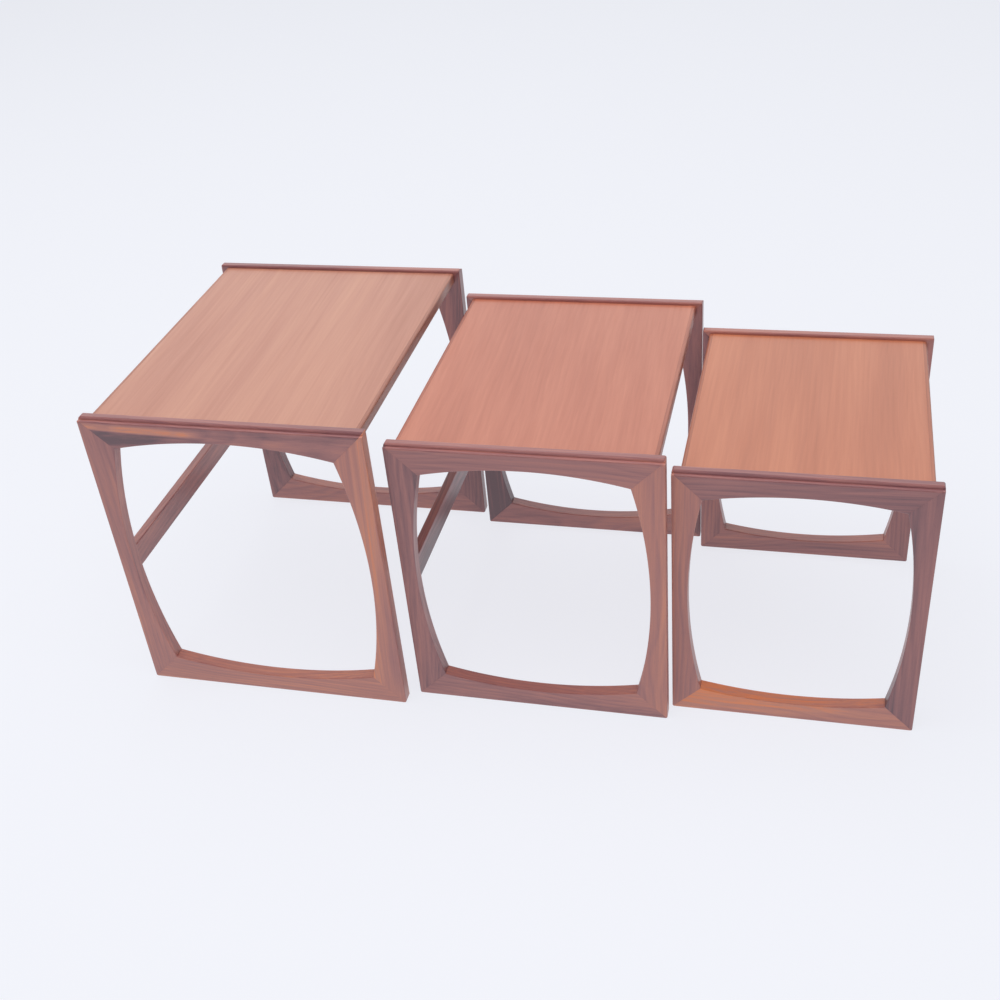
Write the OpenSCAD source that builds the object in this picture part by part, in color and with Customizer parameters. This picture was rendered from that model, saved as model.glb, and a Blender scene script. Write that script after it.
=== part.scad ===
// Nest of three tables, drawn out side by side: the large one, the medium and the small.
// Each table is two mitred end frames with bowed inner edges and a veneered top between them.
// X runs along the row, Y from one end frame to the other, Z up. The origin is on the floor
// at the middle of the row. The open side that the smaller tables slide out of faces +X.

/* [Large table] */
// Length of its end frames, from back to front
large_depth = 432; // [420:1:480]
// Width over its two end frames
large_width = 535; // [530:1:620]
// Height to the top of its rails
large_height = 495; // [490:1:560]
// How far its inner corners stand in from the frame's outside
large_corner = 48; // [40:0.5:60]

/* [Medium table] */
// Length of its end frames, from back to front
medium_depth = 390; // [375:1:400]
// Width over its two end frames
medium_width = 482; // [476:1:486]
// Height to the top of its rails
medium_height = 463; // [457:1:465]
// How far its inner corners stand in from the frame's outside
medium_corner = 46; // [40:0.5:56]

/* [Small table] */
// Length of its end frames, from back to front
small_depth = 350; // [320:1:360]
// Width over its two end frames
small_width = 426; // [380:1:430]
// Height to the top of its rails
small_height = 429; // [380:1:434]
// How far its inner corners stand in from the frame's outside
small_corner = 42; // [40:0.5:52]

/* [End frames] */
// Thickness of the frame members
member_t = 20; // [18:0.5:22]
// Width of an upright at the middle of its bow
upright_mid = 22.5; // [20:0.5:30]
// Depth of a rail at the middle of its bow
rail_mid = 29; // [26:0.5:34]
// Radius of a frame's four outer corners, seen from its end
corner_r = 3; // [1:0.5:6]
// Radius of the softened outer arrises
arris_r = 1.5; // [0.5:0.25:3]
// Height that the top rails stand above the table top
lip_h = 5; // [4:0.5:8]
// Radius of the moulding along the outer top arris
ovolo_r = 4; // [3:0.5:5]
// Width of the level ledge at the foot of that moulding
ledge_w = 6; // [3:0.5:7]
// Radius of the lip's inner top arris
lip_inner_r = 3; // [1:0.5:4]

/* [Table tops] */
// Thickness of a finished top
top_t = 18; // [16:0.5:20]
// Distance from a top's long edge to the frame's end
top_inset = 10.5; // [6:0.5:16]
// Thickness of the face and backing veneers
veneer_t = 0.8; // [0.6:0.1:1.5]
// Width of the solid lipping along each long edge
lipping_w = 6; // [4:0.5:10]
// Radius of the lipping's outer arrises
lipping_r = 3; // [1:0.5:5]

/* [Stretchers] */
// Thickness of the stretcher, back to front
stretcher_t = 14; // [12:0.5:15]
// Depth of the stretcher, top to bottom
stretcher_h = 40; // [32:1:50]
// Height of the stretcher's lower edge above the floor
stretcher_z = 214; // [150:1:260]
// Distance from the back of the frame to the stretcher
stretcher_inset = 4.5; // [2:0.5:6]
// Radius of the stretcher's arrises
stretcher_r = 1.5; // [0.5:0.25:3]

/* [Joinery] */
// Diameter of the dowels that hold a top to its frames
top_dowel_d = 8; // [6:0.5:10]
// Number of dowels at each end of a top
top_dowels_per_end = 4; // [3:1:6]
// Diameter of the stretcher's dowels
stretcher_dowel_d = 6; // [5:0.5:7]
// Thickness of the loose tongues in the mitres
tongue_t = 4; // [3:0.5:6]
// Width of a tongue across the mitre
tongue_w = 18; // [12:1:20]
// Clearance for glue round a dowel or a tongue
glue_gap = 0.1; // [0.05:0.05:0.2]

/* [Arrangement] */
// Gap between the large and the medium table
large_gap = 16; // [4:1:60]
// Gap between the medium and the small table
medium_gap = 4; // [4:1:60]

/* [Hidden] */
$fn = 64;

// Tables and ends are picked by number
LARGE = 0;
MEDIUM = 1;
SMALL = 2;
LEFT = -1;
RIGHT = 1;
BACK = 0;
FRONT = 1;

row_length = large_depth + large_gap + medium_depth + medium_gap + small_depth;
back_x = [
  -row_length / 2,
  -row_length / 2 + large_depth + large_gap,
  row_length / 2 - small_depth,
];
depth = [large_depth, medium_depth, small_depth];
width = [large_width, medium_width, small_width];
height = [large_height, medium_height, small_height];
corner = [large_corner, medium_corner, small_corner];

cut = 1;                       // overrun of every cutting solid
bow_fn = 360;                  // fineness of the long bowed edges
tongue_from_corner = 16;       // stop of a tongue, measured along the mitre
tongue_from_opening = 10;
dowel_in_rail = 12;            // depth of a top's dowels in the rail and in the board
dowel_in_top = 18;
dowel_in_upright = 10;         // depth of a stretcher's dowels in the upright and in the rail
dowel_in_stretcher = 14;
dowel_edge = 60;               // first top dowel, measured from the frame's end
stretcher_dowel_pitch = stretcher_h / 2;
core_t = top_t - 2 * veneer_t;

frame_colour = "#8a5546";
top_colour = "#c27c5e";
lipping_colour = "#b0705a";
core_colour = "#b99a74";
dowel_colour = "#d8bd92";

// Radius of an arc with the given chord and rise
function bow_radius(chord, rise) = (chord * chord / 4 + rise * rise) / (2 * rise);

// Lowest and highest faces of a table's top
function top_face(t) = height[t] - lip_h;
function top_underside(t) = height[t] - lip_h - top_t;

// What is cut away to round the corner at the origin of the first quadrant
module round_off(r) {
  difference() {
    translate([-cut, -cut]) square(r + cut);
    translate([r, r]) circle(r);
  }
}

// Rectangle with four round corners
module rounded_rectangle(l, h, r) {
  difference() {
    square([l, h]);
    for (c = [[0, 0, 0], [l, 0, 90], [l, h, 180], [0, h, 270]])
      translate([c[0], c[1]]) rotate(c[2]) round_off(r);
  }
}

// Extrudes an outline drawn in X and Z along +Y
module along_y(l) {
  translate([0, l, 0]) rotate([90, 0, 0]) linear_extrude(l) children();
}

// Puts a left-hand end, drawn with its outer face at y = 0, at either end of a table
module at_end(t, side) {
  translate([back_x[t], side * width[t] / 2, 0])
    mirror([0, side == RIGHT ? 1 : 0, 0]) children();
}

// What the moulding along the outer top arris takes off, in a section across the rail: a
// quarter round that stands back from the face on a ledge, whose own arris is softened
module moulding_cut(h) {
  difference() {
    translate([-cut, h - ovolo_r]) square([cut + ledge_w + ovolo_r, ovolo_r + cut]);
    translate([ledge_w + ovolo_r, h - ovolo_r]) circle(ovolo_r);
  }
  translate([0, h - ovolo_r]) rotate(270) round_off(arris_r);
}

// A whole end frame with its four outer corners rounded, seen from its end
module frame_blank(t) {
  along_y(member_t) rounded_rectangle(depth[t], height[t], corner_r);
}

// Section across the rails at both heights: softened foot, lip and moulding at the top
module rail_section(t) {
  h = height[t];
  rotate([90, 0, 90]) linear_extrude(depth[t]) difference() {
    square([member_t, h]);
    round_off(arris_r);
    translate([member_t, 0]) rotate(90) round_off(arris_r);
    translate([member_t, h]) rotate(180) round_off(lip_inner_r);
    moulding_cut(h);
  }
}

// Section across the uprights, with their outer arrises softened and the moulding run over
// their mitred tips
module upright_section(t) {
  difference() {
    linear_extrude(height[t]) rounded_rectangle(depth[t], member_t, arris_r);
    translate([-cut, 0, 0]) rotate([90, 0, 90])
      linear_extrude(depth[t] + 2 * cut) moulding_cut(height[t]);
  }
}

// Outlines between the mitres of a rail at height z and of an upright at distance x
function rail_outline(t, z, inwards) =
  let (m = corner[t] + 4)
  [[0, z], [depth[t], z], [depth[t] - m, z + inwards * m], [m, z + inwards * m]];
function upright_outline(t, x, inwards) =
  let (m = corner[t] + 4)
  [[x, 0], [x + inwards * m, m], [x + inwards * m, height[t] - m], [x, height[t]]];

// Centre and radius of the arc that bows the inner edge of a rail or of an upright. The
// arcs of neighbouring members meet in the opening's pointed corners.
function rail_bow(t, z, inwards) =
  let (r = bow_radius(depth[t] - 2 * corner[t], corner[t] - rail_mid))
  [depth[t] / 2, z + inwards * (rail_mid + r), r];
function upright_bow(t, x, inwards) =
  let (r = bow_radius(height[t] - 2 * corner[t], corner[t] - upright_mid))
  [x + inwards * (upright_mid + r), height[t] / 2, r];

// One member of a left-hand end frame, cut between its two mitres from a blank that
// has the section given as a child
module member(t, mitred_outline, bow) {
  color(frame_colour) difference() {
    intersection() {
      frame_blank(t);
      children();
      translate([0, -cut, 0]) along_y(member_t + 2 * cut) polygon(mitred_outline);
    }
    translate([bow[0], -cut, bow[1]]) along_y(member_t + 2 * cut) circle(bow[2], $fn = bow_fn);
    end_tongues(t, glue_gap);
  }
}

module top_rail(t, side) {
  z = height[t];
  at_end(t, side) difference() {
    member(t, rail_outline(t, z, -1), rail_bow(t, z, -1)) rail_section(t);
    end_top_dowels(t, glue_gap);
  }
}

module bottom_rail(t, side) {
  at_end(t, side) member(t, rail_outline(t, 0, 1), rail_bow(t, 0, 1)) rail_section(t);
}

module front_upright(t, side) {
  x = depth[t];
  at_end(t, side) member(t, upright_outline(t, x, -1), upright_bow(t, x, -1)) upright_section(t);
}

module back_upright(t, side) {
  at_end(t, side) difference() {
    member(t, upright_outline(t, 0, 1), upright_bow(t, 0, 1)) upright_section(t);
    if (t != SMALL) end_stretcher_dowels(glue_gap);
  }
}

// Loose tongues across the four mitres of a left-hand frame, grown by gap for their slots
module end_tongues(t, gap) {
  l = corner[t] * sqrt(2) - tongue_from_corner - tongue_from_opening;
  for (c = [[0, 0, 45], [1, 0, 135], [1, 1, 225], [0, 1, 315]])
    translate([c[0] * depth[t], member_t / 2, c[1] * height[t]]) rotate([0, -c[2], 0])
      translate([tongue_from_corner - gap, -tongue_t / 2 - gap, -tongue_w / 2 - gap])
        cube([l + 2 * gap, tongue_t + 2 * gap, tongue_w + 2 * gap]);
}

module mitre_tongues(t) {
  color(dowel_colour) for (side = [LEFT, RIGHT]) at_end(t, side) end_tongues(t, 0);
}

// Dowels between a left-hand top rail and the top, grown by gap for their holes
module end_top_dowels(t, gap) {
  pitch = (depth[t] - 2 * dowel_edge) / (top_dowels_per_end - 1);
  for (i = [0 : top_dowels_per_end - 1])
    translate([dowel_edge + i * pitch, member_t + dowel_in_top + gap, top_face(t) - top_t / 2])
      rotate([90, 0, 0])
        cylinder(h = dowel_in_rail + dowel_in_top + 2 * gap, d = top_dowel_d + 2 * gap);
}

module top_dowels(t) {
  color(dowel_colour) for (side = [LEFT, RIGHT]) at_end(t, side) end_top_dowels(t, 0);
}

// Dowels between a left-hand back upright and the stretcher, grown by gap for their holes
module end_stretcher_dowels(gap) {
  for (i = [-0.5, 0.5])
    translate([
      stretcher_inset + stretcher_t / 2,
      member_t + dowel_in_stretcher + gap,
      stretcher_z + stretcher_h / 2 + i * stretcher_dowel_pitch,
    ])
      rotate([90, 0, 0])
        cylinder(h = dowel_in_upright + dowel_in_stretcher + 2 * gap, d = stretcher_dowel_d + 2 * gap);
}

module stretcher_dowels(t) {
  color(dowel_colour) for (side = [LEFT, RIGHT]) at_end(t, side) end_stretcher_dowels(0);
}

// Rail that ties the two back uprights together
module stretcher(t) {
  color(frame_colour) difference() {
    translate([back_x[t] + stretcher_inset, -width[t] / 2 + member_t, stretcher_z])
      along_y(width[t] - 2 * member_t) rounded_rectangle(stretcher_t, stretcher_h, stretcher_r);
    for (side = [LEFT, RIGHT]) at_end(t, side) end_stretcher_dowels(glue_gap);
  }
}

// A layer of the top between its lippings, from z up
module top_layer(t, z, thickness) {
  translate([back_x[t] + top_inset + lipping_w, -width[t] / 2 + member_t, z])
    cube([depth[t] - 2 * (top_inset + lipping_w), width[t] - 2 * member_t, thickness]);
}

module top_core(t) {
  color(core_colour) difference() {
    top_layer(t, top_underside(t) + veneer_t, core_t);
    for (side = [LEFT, RIGHT]) at_end(t, side) end_top_dowels(t, glue_gap);
  }
}

module top_veneer(t) {
  color(top_colour) top_layer(t, top_face(t) - veneer_t, veneer_t);
}

module top_backing(t) {
  color(top_colour) top_layer(t, top_underside(t), veneer_t);
}

// Solid edge of a top, with its two outer arrises rounded
module top_lipping(t, edge) {
  x = edge == BACK ? top_inset : depth[t] - top_inset;
  color(lipping_colour)
    translate([back_x[t] + x, -width[t] / 2 + member_t, top_underside(t)])
      mirror([edge == FRONT ? 1 : 0, 0, 0]) along_y(width[t] - 2 * member_t) difference() {
        square([lipping_w, top_t]);
        round_off(lipping_r);
        translate([0, top_t]) rotate(270) round_off(lipping_r);
      }
}

top_rail(LARGE, LEFT);  // large_left_top_rail
bottom_rail(LARGE, LEFT);  // large_left_bottom_rail
front_upright(LARGE, LEFT);  // large_left_front_upright
back_upright(LARGE, LEFT);  // large_left_back_upright
top_rail(LARGE, RIGHT);  // large_right_top_rail
bottom_rail(LARGE, RIGHT);  // large_right_bottom_rail
front_upright(LARGE, RIGHT);  // large_right_front_upright
back_upright(LARGE, RIGHT);  // large_right_back_upright
mitre_tongues(LARGE);  // large_mitre_tongues
top_core(LARGE);  // large_top_core
top_veneer(LARGE);  // large_top_veneer
top_backing(LARGE);  // large_top_backing
top_lipping(LARGE, FRONT);  // large_top_front_lipping
top_lipping(LARGE, BACK);  // large_top_back_lipping
top_dowels(LARGE);  // large_top_dowels
stretcher(LARGE);  // large_stretcher
stretcher_dowels(LARGE);  // large_stretcher_dowels

top_rail(MEDIUM, LEFT);  // medium_left_top_rail
bottom_rail(MEDIUM, LEFT);  // medium_left_bottom_rail
front_upright(MEDIUM, LEFT);  // medium_left_front_upright
back_upright(MEDIUM, LEFT);  // medium_left_back_upright
top_rail(MEDIUM, RIGHT);  // medium_right_top_rail
bottom_rail(MEDIUM, RIGHT);  // medium_right_bottom_rail
front_upright(MEDIUM, RIGHT);  // medium_right_front_upright
back_upright(MEDIUM, RIGHT);  // medium_right_back_upright
mitre_tongues(MEDIUM);  // medium_mitre_tongues
top_core(MEDIUM);  // medium_top_core
top_veneer(MEDIUM);  // medium_top_veneer
top_backing(MEDIUM);  // medium_top_backing
top_lipping(MEDIUM, FRONT);  // medium_top_front_lipping
top_lipping(MEDIUM, BACK);  // medium_top_back_lipping
top_dowels(MEDIUM);  // medium_top_dowels
stretcher(MEDIUM);  // medium_stretcher
stretcher_dowels(MEDIUM);  // medium_stretcher_dowels

top_rail(SMALL, LEFT);  // small_left_top_rail
bottom_rail(SMALL, LEFT);  // small_left_bottom_rail
front_upright(SMALL, LEFT);  // small_left_front_upright
back_upright(SMALL, LEFT);  // small_left_back_upright
top_rail(SMALL, RIGHT);  // small_right_top_rail
bottom_rail(SMALL, RIGHT);  // small_right_bottom_rail
front_upright(SMALL, RIGHT);  // small_right_front_upright
back_upright(SMALL, RIGHT);  // small_right_back_upright
mitre_tongues(SMALL);  // small_mitre_tongues
top_core(SMALL);  // small_top_core
top_veneer(SMALL);  // small_top_veneer
top_backing(SMALL);  // small_top_backing
top_lipping(SMALL, FRONT);  // small_top_front_lipping
top_lipping(SMALL, BACK);  // small_top_back_lipping
top_dowels(SMALL);  // small_top_dowels
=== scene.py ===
import math

import bpy
import numpy as np
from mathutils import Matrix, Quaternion, Vector


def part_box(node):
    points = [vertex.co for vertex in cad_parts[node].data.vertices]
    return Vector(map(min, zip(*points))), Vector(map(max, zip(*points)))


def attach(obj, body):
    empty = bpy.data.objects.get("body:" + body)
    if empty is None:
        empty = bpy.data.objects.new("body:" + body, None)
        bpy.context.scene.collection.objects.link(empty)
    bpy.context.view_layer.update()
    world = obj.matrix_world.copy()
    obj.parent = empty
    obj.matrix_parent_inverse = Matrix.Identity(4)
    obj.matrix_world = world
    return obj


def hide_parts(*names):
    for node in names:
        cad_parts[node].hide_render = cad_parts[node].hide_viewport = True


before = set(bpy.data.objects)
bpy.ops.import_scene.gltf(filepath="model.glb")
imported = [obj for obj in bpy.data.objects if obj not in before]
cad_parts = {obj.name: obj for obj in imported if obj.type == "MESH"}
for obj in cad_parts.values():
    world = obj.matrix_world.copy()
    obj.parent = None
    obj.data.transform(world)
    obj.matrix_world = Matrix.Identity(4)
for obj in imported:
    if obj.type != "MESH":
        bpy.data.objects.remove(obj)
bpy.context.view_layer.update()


# ---------------------------------------------------------------- camera
# A standing person's view down on the row from the small tables' side, with the
# camera rolled a little, as a hand-held one is.

CAMERA_PLACE = Vector((0.4290, -1.6286, 1.3894))
CAMERA_HEADING = -0.2908  # radians, from +Y towards +X
CAMERA_DIP = 0.6062  # radians, below the horizon
CAMERA_ROLL = 0.1000  # radians, clockwise as the camera sees it
CAMERA_LENS = 45.96  # mm
CAMERA_SENSOR = 36  # mm wide
CAMERA_REACH = 50  # metres

forward = Vector(
    (
        math.sin(CAMERA_HEADING) * math.cos(CAMERA_DIP),
        math.cos(CAMERA_HEADING) * math.cos(CAMERA_DIP),
        -math.sin(CAMERA_DIP),
    )
)
camera = bpy.data.objects.new("camera", bpy.data.cameras.new("camera"))
camera.data.lens = CAMERA_LENS
camera.data.sensor_width = CAMERA_SENSOR
camera.data.clip_end = CAMERA_REACH
camera.rotation_mode = "QUATERNION"
camera.location = CAMERA_PLACE
camera.rotation_quaternion = forward.to_track_quat("-Z", "Y") @ Quaternion(
    (0, 0, 1), -CAMERA_ROLL
)
bpy.context.scene.collection.objects.link(camera)
bpy.context.scene.camera = camera


# ---------------------------------------------------------------- studio
# A plain pale floor, lit from below as a light table is, so that shadows stay faint. A
# wide white screen stands behind the row, and the room over the camera is dimmer, so
# that surfaces which face up gleam and rounded arrises show a dark line.

FLOOR_HALF = 9.0  # half the floor's side
PAPER_COLOUR = (0.165, 0.165, 0.172)
PAPER_GLOW = (0.738, 0.753, 0.805)
PAPER_ROUGHNESS = 0.9
MOTTLE_WAVES = 2.0  # a metre
MOTTLE_DARKEST = 0.985  # share of the paper's colour
SKY_COLOUR = (0.955, 0.965, 1.0)
SKY_STRENGTH = 0.14
SCREEN_SIZE = (20.0, 10.0)
SCREEN_POWER = 620
SCREEN_PLACE = Vector((0.0, 9.5, 5.6))
CEILING_SIZE = (8.0, 6.0)
CEILING_POWER = 268
CEILING_PLACE = Vector((-0.4, -0.5, 4.2))


def linked(obj):
    """Adds an object to the scene."""
    bpy.context.scene.collection.objects.link(obj)
    return obj


def mesh_object(name, points, faces):
    """An object from an array of points (n, 3) and a list of faces, at the origin."""
    mesh = bpy.data.meshes.new(name)
    mesh.from_pydata(points.tolist(), [], faces)
    mesh.update()
    return linked(bpy.data.objects.new(name, mesh))


def studio_paper():
    """Matt paper, lit through evenly, whose colour is mottled faintly by one noise."""
    material = bpy.data.materials.new("studio_paper")
    material.use_nodes = True
    nodes, links = material.node_tree.nodes, material.node_tree.links
    shader = nodes["Principled BSDF"]
    place = nodes.new("ShaderNodeTexCoord")
    mottle = nodes.new("ShaderNodeTexNoise")
    mottle.inputs["Scale"].default_value = MOTTLE_WAVES
    ramp = nodes.new("ShaderNodeValToRGB")
    ramp.color_ramp.elements[0].color = (*[MOTTLE_DARKEST * c for c in PAPER_COLOUR], 1)
    ramp.color_ramp.elements[1].color = (*PAPER_COLOUR, 1)
    links.new(place.outputs["Object"], mottle.inputs["Vector"])
    links.new(mottle.outputs["Fac"], ramp.inputs["Fac"])
    links.new(ramp.outputs["Color"], shader.inputs["Base Color"])
    shader.inputs["Roughness"].default_value = PAPER_ROUGHNESS
    shader.inputs["Specular IOR Level"].default_value = 0.0
    shader.inputs["Emission Color"].default_value = (*PAPER_GLOW, 1)
    shader.inputs["Emission Strength"].default_value = 1.0
    return material


floor_corners = FLOOR_HALF * np.array([(-1, -1, 0), (1, -1, 0), (1, 1, 0), (-1, 1, 0)])
floor = mesh_object("floor", floor_corners, [(0, 1, 2, 3)])
floor.data.materials.append(studio_paper())

sky = bpy.data.worlds.new("studio_sky")
sky.use_nodes = True
sky.node_tree.nodes["Background"].inputs["Color"].default_value = (*SKY_COLOUR, 1)
sky.node_tree.nodes["Background"].inputs["Strength"].default_value = SKY_STRENGTH
bpy.context.scene.world = sky

for name, size, power, spot, gleams in (
    ("screen", SCREEN_SIZE, SCREEN_POWER, SCREEN_PLACE, True),
    ("ceiling_light", CEILING_SIZE, CEILING_POWER, CEILING_PLACE, False),
):
    light = linked(bpy.data.objects.new(name, bpy.data.lights.new(name, "AREA")))
    light.data.shape = "RECTANGLE"
    light.data.size, light.data.size_y = size
    light.data.energy = power
    light.location = spot
    light.rotation_mode = "QUATERNION"
    light.rotation_quaternion = (-spot).to_track_quat("-Z", "Y")
    light.visible_glossy = gleams
    light.visible_diffuse = not gleams
bpy.context.scene.view_settings.view_transform = "Standard"


# ---------------------------------------------------------------- end frames
# Each end frame is four solid teak members, mitred and glued round an opening with
# bowed sides. The arrises are softened by hand, and the top rail's upper edge stands
# above the table top as a lip, with a small moulding along its outer arris.

MM = 0.001
UPRIGHT_MID = 22.5 * MM  # width of an upright at the middle of its bow
RAIL_MID = 29 * MM  # depth of a rail at the middle of its bow
CORNER_R = 3 * MM  # outer corners of a frame
OUTER_ARRIS = 1.5 * MM
INNER_ARRIS = 1.2 * MM
OVOLO_R = 4 * MM  # moulding along the top
LEDGE_W = 6 * MM  # level ledge at the foot of the moulding
NO_OVOLO = 0.05 * MM  # keeps the section's points apart where there is no moulding
LIP_INNER_R = 3 * MM
MITRE_EASE = 0.12 * MM  # the hairline groove where two members meet
TIP = 14 * MM  # length over which an upright's inner arris changes at its tip

ARC_STEPS = 6  # in a quarter circle
MOULDING_POINTS = 2 * (ARC_STEPS + 1) + 2  # those of a section's round, ledge and arris
LEDGE_FLAT = (0.3, 0.7)  # where the flats of a section have points, as shares of their width
FACE_FLAT = (0.04, 0.3, 0.7, 0.96)
EDGE_FLAT = (0.06, 0.5, 0.94)
STATION_STEP = 7 * MM
END_STATIONS = np.array([0, 0.12, 0.5, 1, 1.6, 2.3, 3.1, 4, 4.4, 6, 9, 14, 19, 26]) * MM
BOW_ROUNDS = 40  # in which a bowed edge settles
SMOOTH_BELOW = math.radians(40)  # a sharper edge than this is shaded as an arris

GRAIN = {  # waves a metre along the trunk and across it, detail, weight in the tone
    "streak": (3.2, 190.0, 2.0, 0.42),
    "band": (2.0, 70.0, 2.0, 0.52),
    "drift": (1.6, 16.0, 1.0, 1.0),
    "fibre": (9.0, 520.0, 2.0, 0.3),
    "pores": (90.0, 2300.0, 1.0, 0.1),
}
GRAIN_ROUGHNESS = 0.55
PORE_OPENS = (0.10, 0.22)  # range of the pores' noise over which a pore opens
RING_MEAN = 0.45
GROWTH_RING = (  # darkness through a year's growth
    (0.0, RING_MEAN), (1.0, RING_MEAN), (0.14, 0.0), (0.60, 0.55), (0.88, 1.0)
)
RING_WAVES = (3.0, 12.0, 12.0)  # a metre, of the noise that bends the growth rings
RING_DETAIL = 1.5
RING_BEND = 0.045  # metres, for the whole range of that noise
LEANS = (0.05, 0.09)  # radians, at most, by which the trunk is out of true
LOG_REACH = 3  # metres, at most, by which a piece's own figure is shifted
PITH_BESIDE = (0.03, 0.06)  # metres, least and most, from a member's centre
PITH_ABOVE = 0.05  # metres, at most
OIL_GLEAM = 0.9  # an oiled and waxed face reflects 7% straight on
OIL_ROUGHNESS = (0.29, 0.36)  # in a light streak and in a dark one
STREAK_SWING = 0.2  # the streaks' noise, from minus this to this, goes from one to the other
FIBRE_RELIEF = 0.35
PORE_RELIEF = 0.5
RELIEF_HEIGHT = 0.15 * MM
RELIEF_STRENGTH = 0.22
FLARE_WANDER = 2.5  # half heights that a flare's line moves for the whole range of the drift


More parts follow.
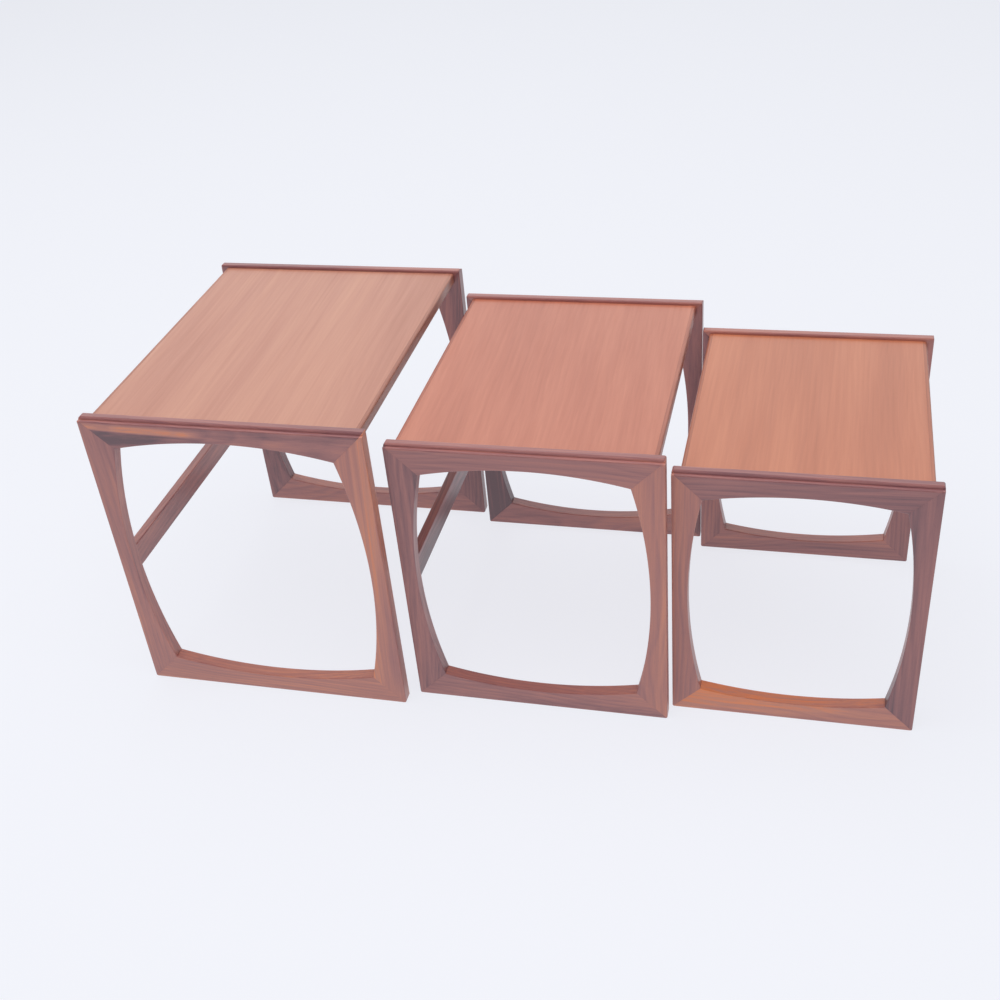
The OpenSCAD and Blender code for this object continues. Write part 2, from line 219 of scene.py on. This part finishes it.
def teak(
    name, along, seed, centre, tones, shift, contrast=0.95, rings=0.14, ring=6 * MM, pith=None,
    flare=None,
):
    """Oiled teak as a solid texture in Object coordinates.

    The trunk runs along the given axis, a little out of true. The distance from its pith,
    a line beside the piece's centre, is bent by a slow noise and cut into growth rings.
    Long thin noises add bands, streaks, fibres and pores, and shift moves the whole tone
    along the ramp of tones from light to dark. contrast scales all of the figure and rings
    the growth rings, which are ring wide. pith is its place across the grain, or a random
    one. flare is a pale streak over a dark one: u half lengths along it and v half heights
    up, the tone falls by its strength times v / e^(u^4 + v^2), kept within two limits.
    """
    material = bpy.data.materials.new(name)
    material.use_nodes = True
    nodes, links = material.node_tree.nodes, material.node_tree.links
    shader = nodes["Principled BSDF"]
    rng = np.random.default_rng(seed)

    def node(kind, inputs=(), **settings):
        """A node with its settings and inputs; an input is a value or another's output."""
        made = nodes.new("ShaderNode" + kind)
        for key, value in settings.items():
            setattr(made, key, value)
        for socket, value in dict(inputs).items():
            if isinstance(value, bpy.types.NodeSocket):
                links.new(value, made.inputs[socket])
            else:
                made.inputs[socket].default_value = value
        return made

    def maths(operation, *values):
        """The result of one sum, whose terms are values or outputs."""
        return node("Math", enumerate(values), operation=operation).outputs[0]

    def ramp(value, *stops):
        """A colour ramp of (position, colour) stops."""
        made = node("ValToRGB", {0: value})
        elements = made.color_ramp.elements
        for number, (position, colour) in enumerate(stops):
            element = elements[number] if number < 2 else elements.new(position)
            element.position, element.color = position, (*colour, 1)
        return made.outputs[0]

    def stretched(long, cross, detail):
        """Noise round 0 with so many waves a metre along the trunk and across it."""
        placed = node("Mapping", {"Vector": trunk, "Scale": (long, cross, cross)}).outputs[0]
        settings = {0: placed, "Scale": 1.0, "Detail": detail, "Roughness": GRAIN_ROUGHNESS}
        return maths("SUBTRACT", node("TexNoise", settings).outputs["Fac"], 0.5)

    place = node("TexCoord").outputs["Object"]
    middle = node("VectorMath", {0: place, 1: tuple(centre)}, operation="SUBTRACT").outputs[0]
    xyz = node("SeparateXYZ", {0: middle}).outputs
    order = {"X": (0, 1, 2), "Y": (1, 0, 2), "Z": (2, 1, 0)}[along]
    turned = node("CombineXYZ", {i: xyz[k] for i, k in enumerate(order)}).outputs[0]
    lean = (0, *(rng.uniform(-most, most) for most in LEANS))
    leaning = node("Mapping", {"Vector": turned, "Rotation": lean}).outputs[0]
    cut = tuple(rng.uniform(-LOG_REACH, LOG_REACH, 3))
    trunk = node("Mapping", {"Vector": leaning, "Location": cut}).outputs[0]
    if pith is None:
        beside = rng.choice([-1, 1]) * rng.uniform(*PITH_BESIDE)
        pith = (beside, rng.uniform(-PITH_ABOVE, PITH_ABOVE))
    heart = node("Mapping", {"Vector": leaning, "Location": (0, *pith)}).outputs[0]
    slow = node("Mapping", {"Vector": trunk, "Scale": RING_WAVES}).outputs[0]
    wander = node("TexNoise", {0: slow, "Scale": 1.0, "Detail": RING_DETAIL}).outputs["Color"]
    off = node("VectorMath", {0: wander, 1: (0.5, 0.5, 0.5)}, operation="SUBTRACT").outputs[0]
    most = (0, RING_BEND, RING_BEND)
    bend = node("VectorMath", {0: off, 1: most}, operation="MULTIPLY").outputs[0]
    bent = node("VectorMath", {0: heart, 1: bend}, operation="ADD").outputs[0]
    across = node("VectorMath", {0: bent, 1: (0, 1, 1)}, operation="MULTIPLY").outputs[0]
    radius = node("VectorMath", {0: across}, operation="LENGTH").outputs["Value"]
    year = maths("FRACT", maths("DIVIDE", radius, ring))
    growth = ramp(year, *((at, (v, v, v)) for at, v in GROWTH_RING))

    grain = {layer: stretched(*waves) for layer, (*waves, _) in GRAIN.items()}
    low, high = PORE_OPENS
    opening = node("MapRange", {0: grain["pores"], 1: low, 2: high, 3: 0.0, 4: 1.0})
    grain["pores"] = opening.outputs[0]

    growth = maths("SUBTRACT", growth, RING_MEAN)
    tone = maths("ADD", maths("MULTIPLY", growth, rings * contrast), shift)
    for layer, (*_, weight) in GRAIN.items():
        tone = maths("ADD", tone, maths("MULTIPLY", grain[layer], weight * contrast))
    if flare:
        x, z = flare["place"]
        u = maths("SUBTRACT", xyz[0], x)
        v = maths("SUBTRACT", xyz[2], z)
        v = maths("SUBTRACT", v, maths("MULTIPLY", u, flare["slope"]))
        u = maths("DIVIDE", u, flare["half_length"])
        v = maths("DIVIDE", v, flare["half_height"])
        v = maths("ADD", v, maths("MULTIPLY", grain["drift"], FLARE_WANDER))
        reach = maths("ADD", maths("POWER", maths("ABSOLUTE", u), 4.0), maths("MULTIPLY", v, v))
        swing = maths("MULTIPLY", v, maths("POWER", math.e, maths("MULTIPLY", reach, -1.0)))
        limits = {1: flare["darkest"], 2: flare["palest"]}
        swing = node("Clamp", {0: swing, **limits}).outputs[0]
        tone = maths("SUBTRACT", tone, maths("MULTIPLY", swing, flare["strength"]))
    links.new(ramp(tone, *tones), shader.inputs["Base Color"])
    shader.inputs["Specular IOR Level"].default_value = OIL_GLEAM
    polished, dry = OIL_ROUGHNESS
    swings = {1: -STREAK_SWING, 2: STREAK_SWING, 3: polished, 4: dry}
    gloss = node("MapRange", {0: grain["streak"], **swings})
    links.new(gloss.outputs[0], shader.inputs["Roughness"])
    fibres = maths("MULTIPLY", grain["fibre"], FIBRE_RELIEF)
    relief = maths("SUBTRACT", fibres, maths("MULTIPLY", grain["pores"], PORE_RELIEF))
    bump = node(
        "Bump", {"Height": relief, "Strength": RELIEF_STRENGTH, "Distance": RELIEF_HEIGHT}
    )
    links.new(bump.outputs[0], shader.inputs["Normal"])
    return material


def arc(k, d, w, radius, start):
    """A quarter circle, turning anticlockwise from start degrees, whose points are its
    centre plus radius times (cos, sin).

    Rows are the share of the member's bowed depth that goes into a point's depth, the rest
    of its depth, its place in the thickness, and the two parts of the outward normal.
    """
    angle = math.radians(start) + np.linspace(0, math.pi / 2, ARC_STEPS + 1)
    cos, sin = np.cos(angle), np.sin(angle)
    return np.array([np.full_like(cos, k), d + radius * cos, w + radius * sin, cos, sin])


def flat(k0, d0, w0, k1, d1, w1, normal, fractions):
    """Points on a flat between two ends, each end plus its fraction of the way to the
    other, in rows as arc gives them."""
    f = np.asarray(fractions)
    one = np.ones_like(f)
    ends = ((k0, k1), (d0, d1), (w0, w1))
    return np.array([a + (b - a) * f for a, b in ends] + [n * one for n in normal])


def member_section(thickness, ovolo, ledge, inner):
    """The closed section of a frame member, anticlockwise in depth and thickness.

    It starts on the outside edge with a quarter round of radius ovolo, drops to a ledge
    and rounds its arris, and goes on over the outer face, the bowed edge and the inner
    face, where the outside edge's other arris has the radius inner.
    """
    t, r, a = thickness, INNER_ARRIS, OUTER_ARRIS
    return np.concatenate(
        [
            arc(0, ovolo, ledge + ovolo, ovolo, 180),
            flat(0, ovolo, ledge, 0, ovolo, a, (-1, 0), LEDGE_FLAT),
            arc(0, ovolo + a, a, a, 180),
            flat(0, ovolo + a, 0, 1, -r, 0, (0, -1), FACE_FLAT),
            arc(1, -r, r, r, 270),
            flat(1, 0, r, 1, 0, t - r, (1, 0), EDGE_FLAT),
            arc(1, -r, t - r, r, 0),
            flat(1, -r, t, 0, inner, t, (0, 1), FACE_FLAT),
            arc(0, inner, t - inner, inner, 90),
            flat(0, 0, t - inner, 0, 0, ledge + ovolo, (-1, 0), EDGE_FLAT),
        ],
        axis=1,
    )


def rounded_off(distance, radius):
    """How far a surface has drawn back from its flat, at a distance from a round arris."""
    return radius - np.sqrt(radius**2 - np.clip(radius - distance, 0, radius) ** 2)


def bow_depth(along, length, corner, mid):
    """Depth of a member at a place along its outside edge: an arc of a circle that is mid
    deep at the middle and corner deep at a distance corner from each end."""
    rise, half = corner - mid, length / 2 - corner
    radius = (half**2 + rise**2) / (2 * rise)
    return mid + radius - np.sqrt(radius**2 - (along - length / 2) ** 2)


def stations(length):
    """Places along a member, close together at its two mitres, as shares of its length."""
    inner = END_STATIONS[-1]
    count = max(2, int((length - 2 * inner) / STATION_STEP))
    middle = np.linspace(inner, length - inner, count + 1)[1:-1]
    return np.concatenate([END_STATIONS, middle, (length - END_STATIONS)[::-1]]) / length


def tube_faces(rings, loop):
    """Quads between rings of points, and a cap on each end, facing outwards."""
    i, j = np.meshgrid(np.arange(rings - 1), np.arange(loop), indexing="ij")
    k = (j + 1) % loop
    quads = np.stack([i * loop + j, (i + 1) * loop + j, (i + 1) * loop + k, i * loop + k], -1)
    faces = quads.reshape(-1, 4).tolist()
    faces.append(list(range(loop)))
    faces.append(list(range((rings - 1) * loop, rings * loop))[::-1])
    return faces


def finish_piece(name, points, faces, mirrored, material, body, node):
    """Makes the piece that stands for a CAD node, smooth where it is round."""
    if mirrored:
        faces = [face[::-1] for face in faces]
    piece = mesh_object(name, points, faces)
    piece.data.shade_smooth()
    piece.data.set_sharp_from_angle(angle=SMOOTH_BELOW)
    piece.data.materials.append(material)
    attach(piece, body)
    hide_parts(node)


def frame_member(name, origin, axes, length, corner, mid, thickness, moulded, material, body):
    """One mitred member.

    Its points are a section carried along the member. A point as deep as d starts d
    from one end and stops d from the other, which makes the 45 degree mitres, and each is
    drawn in by MITRE_EASE at the mitres themselves. Near a frame's outer corner, the
    squares round the corner's centre are drawn in to circles.

    moulded is "all" for a top rail, "none" for a bottom rail and "tip" for an upright. The
    top rail's moulding runs on level over an upright's tip: there the moulding's points
    lose depth with their distance from the tip, down to none, and the thickness stays
    under the lip's rounded inner arris.
    """
    share = stations(length)[:, None]
    depth = np.full_like(share, mid)
    for _ in range(BOW_ROUNDS):
        depth = bow_depth(depth + (length - 2 * depth) * share, length, corner, mid)
    if moulded == "none":
        section = member_section(thickness, NO_OVOLO, OUTER_ARRIS + NO_OVOLO, OUTER_ARRIS)
    else:
        section = member_section(thickness, OVOLO_R, LEDGE_W, LIP_INNER_R)
    k, d, w, nd, nw = (row * np.ones_like(share) for row in section)
    if moulded == "tip":
        from_tip = (1 - share) * length
        square = member_section(thickness, OVOLO_R, LEDGE_W, OUTER_ARRIS)
        blend = np.clip(1 - from_tip / TIP, 0, 1) ** 2
        d, w = (a * (1 - blend) + b * blend for a, b in zip(square[1:3, None], (d, w)))
        top = slice(0, MOULDING_POINTS)
        d[:, top] = np.maximum(d[:, top] - np.minimum(from_tip, OVOLO_R), 0)
        from_top = d + (length - 2 * d) * (1 - share)
        highest = thickness - rounded_off(from_top, LIP_INNER_R)
        w = np.where(share < 1, np.minimum(w, highest), w)
    d = k * depth + d
    ease = np.clip(MITRE_EASE - np.minimum(share, 1 - share) * length, 0, None)
    d = d - ease * nd
    w = w - ease * nw
    s = d + (length - 2 * d) * share

    a = np.minimum(s, length - s)
    p = np.stack([CORNER_R - a, CORNER_R - d])
    inside = (p > 0).all(0)
    size = np.where(inside, np.linalg.norm(p, axis=0), 1)
    p = np.where(inside, p * p.max(0) / size, p)
    a, d = CORNER_R - p[0], CORNER_R - p[1]
    s = np.where(share < 0.5, a, length - a)

    points = origin + s[..., None] * axes[0] + d[..., None] * axes[1] + w[..., None] * axes[2]
    faces = tube_faces(*s.shape)
    mirrored = np.linalg.det(np.array(axes)) > 0
    finish_piece(
        name + "_teak", points.reshape(-1, 3), faces, mirrored, material, body, name
    )


X, Y, Z = np.eye(3)
FRAME_TONES = (
    (0.0, (0.80, 0.235, 0.080)),
    (1.0, (0.13, 0.056, 0.070)),
    (0.20, (0.60, 0.230, 0.155)),
    (0.30, (0.53, 0.198, 0.147)),
    (0.55, (0.390, 0.148, 0.136)),
    (0.80, (0.255, 0.096, 0.103)),
)
SHADES = {  # how dark each member's wood is, and for one member painted shade as well: top rail, bottom rail, back, front
    "large_left": (0.69, 0.35, 0.50, 0.40),
    "large_right": (0.55, 0.60, 0.66, 0.76),
    "medium_left": (0.66, 0.50, 0.70, 0.36),
    # the back upright's 0.98, near the darkest tone, is painted shade for the shade it stands in
    # under the medium table's top
    "medium_right": (0.55, 0.52, 0.98, 0.70),
    "small_left": (0.70, 0.18, 0.40, 0.86),
    "small_right": (0.50, 0.66, 0.66, 0.66),
}
FLARE = {  # in the large table's left top rail
    "place": (-0.135, 0.007),  # in X and Z, from the rail's centre
    "half_length": 0.100,
    "half_height": 0.009,
    "slope": -0.06,
    "strength": 2.4,
    "darkest": -0.055,
    "palest": 0.24,
}
FLARE_IN = "large_left_top_rail"
TABLES = ("large", "medium", "small")
SEEDS_A_TABLE = 10
SEEDS_A_FRAME = 5

for number, table in enumerate(TABLES):
    for side, inward in (("left", Y), ("right", -Y)):
        end_frame = f"{table}_{side}"
        low = np.array(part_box(f"{end_frame}_back_upright")[0])
        high = np.array(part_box(f"{end_frame}_front_upright")[1])
        foot_low, foot_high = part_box(f"{end_frame}_bottom_rail")
        x0, x1, z0 = low[0], high[0], foot_low[2]
        z1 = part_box(f"{end_frame}_top_rail")[1][2]
        y = low[1] if side == "left" else high[1]
        thickness = high[1] - low[1]
        corner = foot_high[2] - foot_low[2]
        seed = SEEDS_A_TABLE * number + (SEEDS_A_FRAME if side == "right" else 0)
        members = (
            ("top_rail", (x0, y, z1), X, -Z, x1 - x0, RAIL_MID, "all", "X"),
            ("bottom_rail", (x0, y, z0), X, Z, x1 - x0, RAIL_MID, "none", "X"),
            ("back_upright", (x0, y, z0), Z, X, z1 - z0, UPRIGHT_MID, "tip", "Z"),
            ("front_upright", (x1, y, z0), Z, -X, z1 - z0, UPRIGHT_MID, "tip", "Z"),
        )
        for shade, (part, start, run, deep, length, mid, moulded, along) in zip(
            SHADES[end_frame], members
        ):
            seed += 1
            name = f"{end_frame}_{part}"
            origin = np.array(start)
            centre = origin + run * length / 2 + deep * corner / 2
            flare = FLARE if name == FLARE_IN else None
            material = teak(f"teak_{name}", along, seed, centre, FRAME_TONES, shade, flare=flare)
            frame_member(
                name, origin, (run, deep, inward), length, corner, mid,
                thickness, moulded, material, table,
            )


# ---------------------------------------------------------------- tops
# A top is a board with teak veneer on both faces, its grain running from one end frame
# to the other, and a solid teak lipping glued along each long edge and rounded over.

TOP_TONES = {
    "large": (
        (0.0, (0.67, 0.325, 0.214)), (1.0, (0.36, 0.122, 0.074)), (0.5, (0.520, 0.219, 0.149))
    ),
    "medium": (
        (0.0, (0.66, 0.241, 0.149)), (1.0, (0.35, 0.096, 0.056)), (0.5, (0.505, 0.159, 0.096))
    ),
    "small": (
        (0.0, (0.68, 0.254, 0.133)), (1.0, (0.36, 0.104, 0.053)), (0.5, (0.525, 0.171, 0.088))
    ),
}
VENEER_SHADE = 0.45
VENEER_FIGURE = {"contrast": 0.62, "rings": 0.08, "ring": 7 * MM, "pith": (0.45, 0.30)}
VENEER_SEED = 40
LIPPING_R = 3 * MM
LIPPING_SHADE = 0.85
LIPPING_SEED = 50
JOINT_EASE = 0.12 * MM  # the arris left where two pieces are glued
SIDE_POINTS = np.array([0.02, 0.15, 0.35, 0.5, 0.65, 0.85, 0.98])[:, None]
BAR_ROWS = 42  # outlines along a straight piece


def rounded_loop(low, high, radii):
    """A closed outline in X and Z, anticlockwise from the lower left corner, that rounds
    each corner of a rectangle with a quarter circle and has points along its sides.

    A point of a corner is its circle's centre plus the radius times (cos, sin).
    """
    x0, z0, x1, z1 = low[0], low[2], high[0], high[2]
    corners = ((x0, z0, 1, 1), (x1, z0, -1, 1), (x1, z1, -1, -1), (x0, z1, 1, -1))
    arcs = []
    for number, ((x, z, to_x, to_z), r) in enumerate(zip(corners, radii)):
        angle = math.pi * (1 + number / 2) + np.linspace(0, math.pi / 2, ARC_STEPS + 1)
        centre = np.array([x + r * to_x, z + r * to_z])
        arcs.append(centre + r * np.stack([np.cos(angle), np.sin(angle)], 1))
    sides = []
    for this, following in zip(arcs, arcs[1:] + arcs[:1]):
        sides += [this, this[-1] * (1 - SIDE_POINTS) + following[0] * SIDE_POINTS]
    return np.concatenate(sides)


def bar_along_y(name, radii, material, body, suffix="_teak"):
    """A straight piece: a rounded outline carried along Y through a CAD node's box, and
    drawn in by JOINT_EASE at its two ends."""
    low, high = (np.array(v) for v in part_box(name))
    loop = rounded_loop(low, high, radii)
    ease = np.array([JOINT_EASE, 2 * JOINT_EASE])
    rows = np.linspace(low[1], high[1], BAR_ROWS)
    y = np.concatenate([rows[:1], low[1] + ease, rows[1:-1], high[1] - ease[::-1], rows[-1:]])
    centre = loop.mean(0)
    shrink = np.where((y == low[1]) | (y == high[1]), JOINT_EASE, 0)[:, None, None]
    loops = loop[None] - shrink * np.sign(loop - centre)[None]
    across = np.broadcast_to(y[:, None], loops.shape[:2])
    points = np.stack([loops[..., 0], across, loops[..., 1]], -1)
    faces = tube_faces(*points.shape[:2])
    finish_piece(
        name + suffix, points.reshape(-1, 3), faces, False, material, body, name
    )


for number, table in enumerate(TABLES):
    centre = np.mean(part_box(f"{table}_top_veneer"), 0)
    tones = TOP_TONES[table]
    veneer = teak(
        f"teak_{table}_top", "Y", VENEER_SEED + number, centre, tones, VENEER_SHADE, **VENEER_FIGURE
    )
    lipping = teak(
        f"teak_{table}_lipping", "Y", LIPPING_SEED + number, centre, tones, LIPPING_SHADE
    )
    eased = [JOINT_EASE] * 4
    for part in ("top_veneer", "top_backing"):
        bar_along_y(f"{table}_{part}", eased, veneer, table, "_sheet")
    back = [LIPPING_R, JOINT_EASE, JOINT_EASE, LIPPING_R]
    front = [JOINT_EASE, LIPPING_R, LIPPING_R, JOINT_EASE]
    bar_along_y(f"{table}_top_back_lipping", back, lipping, table)
    bar_along_y(f"{table}_top_front_lipping", front, lipping, table)


# ---------------------------------------------------------------- stretchers
# A plain rail with eased arrises ties the back uprights of the two larger tables
# together at about half height. It is dowelled and glued between them.

STRETCHER_ARRIS = 1.5 * MM
STRETCHER_SHADES = (0.62, 0.92)
STRETCHER_SEED = 60

for number, (table, shade) in enumerate(zip(TABLES, STRETCHER_SHADES)):
    name = f"{table}_stretcher"
    centre = np.mean(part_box(name), 0)
    material = teak(f"teak_{name}", "Y", STRETCHER_SEED + number, centre, FRAME_TONES, shade)
    bar_along_y(name, [STRETCHER_ARRIS] * 4, material, table)


# ---------------------------------------------------------------- inside the joints
# The core boards, the dowels and the loose tongues stay as they were cut: pale board
# and straight-grained beech. They show only when a table is taken apart.

CORE_TONES = ((0.0, (0.60, 0.44, 0.27)), (1.0, (0.42, 0.29, 0.17)))
BEECH_TONES = ((0.0, (0.74, 0.56, 0.38)), (1.0, (0.60, 0.42, 0.26)))
INSIDE_SHADE = 0.5
CORE_SEED = 70
BEECH_SEED = 71

core_board = teak("core_board", "Y", CORE_SEED, (0, 0, 0), CORE_TONES, INSIDE_SHADE)
beech = teak("beech", "Y", BEECH_SEED, (0, 0, 0), BEECH_TONES, INSIDE_SHADE)
for name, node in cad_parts.items():
    inside = {"core": core_board, "dowels": beech, "tongues": beech}.get(name.split("_")[-1])
    if inside:
        node.data.materials.clear()
        node.data.materials.append(inside)
